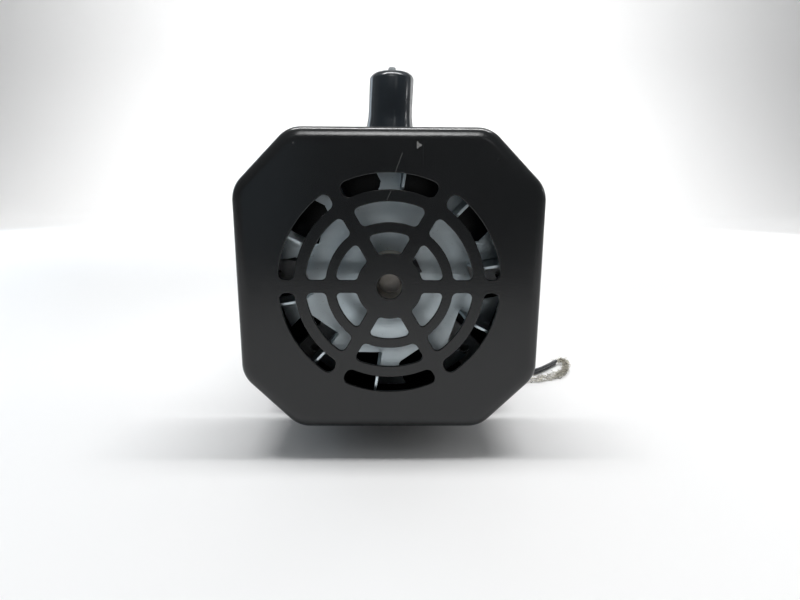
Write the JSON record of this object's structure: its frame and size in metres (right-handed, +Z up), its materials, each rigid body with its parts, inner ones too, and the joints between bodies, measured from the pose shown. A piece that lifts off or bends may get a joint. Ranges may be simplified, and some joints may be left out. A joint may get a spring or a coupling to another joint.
{
  "type": "aquarium air pump",
  "caption": "Motor-driven diaphragm air pump with a fan behind a slotted octagonal end cover, a capped hose spigot on its head and a short flying lead.",
  "frame": {"origin": "on the floor under the middle of the pump, lead and braid left out", "axes": "+Z up, -Y out of the slotted end cover, +X to the right as that cover is faced"},
  "size_m": [0.1422, 0.156, 0.1357],
  "materials": {
    "cover_paint": "satin black stoved enamel, fine wipe marks",
    "fan_sheet": "mill-finish stamped sheet",
    "hub_metal": "turned, dull",
    "shaft_steel": "ground and lightly stained",
    "bright_steel": "zinc-plated fasteners and bearing rings",
    "spring_steel": "phosphated",
    "casting": "die-cast, fine grain",
    "rod_metal": "machined casting",
    "lamination": "stacked electrical steel, varnished",
    "cast_cage": "cast",
    "winding": "enamelled copper wire under varnish",
    "cage_plastic": "moulded",
    "black_rubber": "matt",
    "valve_rubber": "silicone",
    "gasket_fibre": "pressed fibre",
    "seal_rubber": "silicone",
    "spigot_brass": "turned",
    "cap_vinyl": "dip-moulded vinyl, glossy",
    "filter_plastic": "moulded",
    "felt": "wool felt",
    "base_paint": "satin dark grey powder coat",
    "lead_insulation": "extruded, slightly glossy",
    "tinned_braid": "loose tinned copper strands"
  },
  "bodies": {
    "frame": {"front_cover": "cover_paint", "cover_screws": "bright_steel", "baffle_plate": "cover_paint", "baffle_screws": "bright_steel", "front_bearing_outer": "bright_steel", "rear_bearing_outer": "bright_steel", "bearing_circlip": "spring_steel", "wave_washer": "spring_steel", "diaphragm": "black_rubber", "crankcase": "casting", "adapter_plate": "casting", "adapter_screws": "bright_steel", "valve_plate": "casting", "head_gasket": "gasket_fibre", "head_cover": "casting", "head_screws": "bright_steel", "outlet_spigot": "spigot_brass", "spigot_seal": "seal_rubber", "inlet_felt": "felt", "motor_front_bell": "casting", "stator_core": "lamination", "stator_windings": "winding", "rear_bell": "casting", "through_bolts": "bright_steel", "bolt_nuts": "bright_steel", "base_plate": "base_paint", "base_screws": "bright_steel", "rubber_feet": "black_rubber", "foot_screws": "bright_steel", "lead_grommet": "black_rubber", "lead_cord": "lead_insulation", "braid_pigtail": "tinned_braid"},
    "rotor": {"fan_wheel": "fan_sheet", "fan_hub": "hub_metal", "fan_set_screw": "spring_steel", "shaft": "shaft_steel", "shaft_circlip": "spring_steel", "eccentric": "shaft_steel", "eccentric_set_screw": "spring_steel", "eccentric_circlip": "spring_steel", "rotor_core": "lamination", "rotor_cage": "cast_cage", "front_bearing_inner": "bright_steel", "rear_bearing_inner": "bright_steel", "rod_bearing_inner": "bright_steel"},
    "rod": {"connecting_rod": "rod_metal", "rod_bearing_outer": "bright_steel", "upper_clamp_disc": "rod_metal", "clamp_screw": "bright_steel"},
    "front_bearing_set": {"front_bearing_balls": "bright_steel", "front_bearing_cage": "cage_plastic"},
    "rear_bearing_set": {"rear_bearing_balls": "bright_steel", "rear_bearing_cage": "cage_plastic"},
    "rod_bearing_set": {"rod_bearing_balls": "bright_steel", "rod_bearing_cage": "cage_plastic"},
    "inlet_valve": {"inlet_valve": "valve_rubber"},
    "outlet_valve": {"outlet_valve": "valve_rubber"},
    "port_cap": {"port_cap": "cap_vinyl"},
    "filter_cap": {"inlet_filter_cap": "filter_plastic"}
  },
  "joints": [
    {"name": "rotor_spin", "type": "hinge", "parent": "frame", "child": "rotor", "pos_m": [0, 0, 0.06], "axis": [0, 1, 0], "continuous": true},
    {"name": "rod_swing", "type": "hinge", "parent": "rotor", "child": "rod", "pos_m": [0, -0.023, 0.0585], "axis": [0, 1, 0], "continuous": true, "deforming": ["diaphragm"]},
    {"name": "front_bearing_roll", "type": "hinge", "parent": "frame", "child": "front_bearing_set", "pos_m": [0, -0.0475, 0.06], "axis": [0, 1, 0], "continuous": true},
    {"name": "rear_bearing_roll", "type": "hinge", "parent": "frame", "child": "rear_bearing_set", "pos_m": [0, 0.0665, 0.06], "axis": [0, 1, 0], "continuous": true},
    {"name": "rod_bearing_roll", "type": "hinge", "parent": "rotor", "child": "rod_bearing_set", "pos_m": [0, -0.023, 0.0585], "axis": [0, 1, 0], "continuous": true},
    {"name": "inlet_valve_lift", "type": "slide", "parent": "frame", "child": "inlet_valve", "axis": [0, 0, -1], "range_m": [0, 0.0006], "stiffness_N_per_m": 50, "springref_m": -0.0003},
    {"name": "outlet_valve_lift", "type": "slide", "parent": "frame", "child": "outlet_valve", "axis": [0, 0, 1], "range_m": [0, 0.0006], "stiffness_N_per_m": 50, "springref_m": -0.0003},
    {"name": "port_cap_pull", "type": "slide", "parent": "frame", "child": "port_cap", "axis": [0, 0, 1], "range_m": [0, 0.025]},
    {"name": "filter_cap_pull", "type": "slide", "parent": "frame", "child": "filter_cap", "axis": [0, 0, 1], "range_m": [0, 0.012]}
  ],
  "couplings": [
    {"joint": "rod_swing", "follows": "rotor_spin", "ratio": -1},
    {"joint": "front_bearing_roll", "follows": "rotor_spin", "ratio": 0.368},
    {"joint": "rear_bearing_roll", "follows": "rotor_spin", "ratio": 0.368},
    {"joint": "rod_bearing_roll", "follows": "rotor_spin", "ratio": -0.561}
  ]
}
